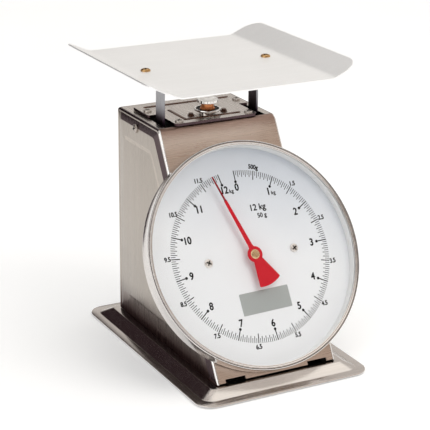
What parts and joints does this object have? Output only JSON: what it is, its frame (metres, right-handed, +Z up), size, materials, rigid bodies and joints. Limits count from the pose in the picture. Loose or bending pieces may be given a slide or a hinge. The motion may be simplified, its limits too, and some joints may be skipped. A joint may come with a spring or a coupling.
{
  "type": "dial kitchen scale",
  "caption": "Mechanical dial kitchen scale: sheet steel housing on a flanged base, tilted round dial with red pointer, two posts carrying a platform with flared ends, zero knob.",
  "frame": {"origin": "middle of the overall footprint (base front edge to platform rear edge), on the surface the feet stand on", "axes": "+Z up; the dial faces -Y and leans back 30 degrees; +X is to the right seen from the front"},
  "size_m": [0.2, 0.2432, 0.2616],
  "materials": {
    "base_steel": "brushed stainless sheet, satin",
    "body_steel": "brushed stainless sheet, vertical grain",
    "front_steel": "brushed stainless sheet, warm reflection",
    "platform_steel": "fine brushed stainless sheet, bright satin",
    "plated_steel": "zinc plated pressed steel",
    "post_steel": "bright cold rolled strip",
    "screw_steel": "nickel plated screws",
    "screw_brass": "brass plated dome screws",
    "brass": "turned brass",
    "copper_brass": "reddish turned brass, lightly worn",
    "knob_chrome": "bright chrome plating",
    "bezel_steel": "polished satin steel",
    "case_steel": "light grey painted steel",
    "dial_white": "matt white enamel with black print",
    "label_grey": "printed label, plain grey",
    "ring_white": "white moulded plastic",
    "clear": "clear flat glass",
    "rubber_black": "matt black rubber",
    "pointer_red": "semi-gloss red lacquer",
    "spring_steel": "oiled spring wire"
  },
  "bodies": {
    "housing": {"base_plate": "base_steel", "rubber_feet": "rubber_black", "base_screws": "screw_steel", "left_side_panel": "body_steel", "right_side_panel": "body_steel", "side_screws": "screw_steel", "front_panel": "front_steel", "top_cap": "body_steel", "rear_cover": "body_steel", "rear_cover_screws": "screw_steel", "left_upright": "plated_steel", "right_upright": "plated_steel", "upright_screws": "screw_steel", "hanger_plate": "body_steel", "hanger_plate_screws": "screw_steel", "guide_pins": "plated_steel", "knob_collar": "knob_chrome", "stop_bumper": "rubber_black", "movement_front_plate": "plated_steel", "movement_rear_plate": "plated_steel", "movement_pillars": "brass", "front_bush": "brass", "rear_bush": "brass", "dial_case": "case_steel", "dial_plate": "dial_white", "dial_label": "label_grey", "dial_screws": "screw_steel", "spacer_ring": "ring_white", "lens": "clear", "lens_gasket": "rubber_black", "bezel_ring": "bezel_steel"},
    "pointer": {"pointer": "pointer_red", "pointer_hub": "pointer_red", "pointer_cap": "brass", "pointer_shaft": "plated_steel", "pinion": "brass"},
    "platform": {"platform": "platform_steel", "platform_screws": "screw_brass", "left_post": "post_steel", "right_post": "post_steel", "post_bolts": "screw_steel", "yoke": "plated_steel", "rack_bracket": "plated_steel", "rack_screws": "screw_steel", "rack": "brass", "lower_spring_plugs": "plated_steel", "arm_pins": "screw_steel", "left_spring": "spring_steel", "right_spring": "spring_steel"},
    "hanger": {"hanger_bar": "plated_steel", "upper_spring_plugs": "plated_steel"},
    "zero_knob": {"zero_knob": "knob_chrome", "knob_neck": "copper_brass", "hanger_screw": "plated_steel"},
    "upper_arm": {"upper_arm_links": "plated_steel", "upper_arm_shaft": "plated_steel"},
    "lower_arm": {"lower_arm_links": "plated_steel", "lower_arm_shaft": "plated_steel"}
  },
  "joints": [
    {"name": "platform_slide", "type": "slide", "parent": "housing", "child": "platform", "axis": [0, 0, -1], "range_m": [0, 0.0177], "stiffness_N_per_m": 6990, "springref_m": -0.0036, "deforming": ["left_spring", "right_spring"]},
    {"name": "pointer_spin", "type": "hinge", "parent": "housing", "child": "pointer", "pos_m": [0, -0.04945, 0.098], "axis": [0, 0.866, -0.5], "range_deg": [0, 367]},
    {"name": "knob_turn", "type": "hinge", "parent": "housing", "child": "zero_knob", "pos_m": [0, 0.03055, 0.21], "axis": [0, 0, 1], "range_deg": [-540, 540]},
    {"name": "hanger_slide", "type": "slide", "parent": "housing", "child": "hanger", "axis": [0, 0, 1], "range_m": [-0.0019, 0.0019]},
    {"name": "upper_arm_swing", "type": "hinge", "parent": "housing", "child": "upper_arm", "pos_m": [0, 0.08555, 0.16116], "axis": [1, 0, 0], "range_deg": [0, 18.6]},
    {"name": "lower_arm_swing", "type": "hinge", "parent": "housing", "child": "lower_arm", "pos_m": [0, 0.08555, 0.08616], "axis": [1, 0, 0], "range_deg": [0, 18.6]}
  ],
  "couplings": [
    {"joint": "pointer_spin", "follows": "platform_slide", "rad_per_m": 360.84},
    {"joint": "hanger_slide", "follows": "knob_turn", "m_per_rad": 0.00019894},
    {"joint": "upper_arm_swing", "follows": "platform_slide", "rad_per_m": 18.242},
    {"joint": "lower_arm_swing", "follows": "platform_slide", "rad_per_m": 18.242}
  ]
}
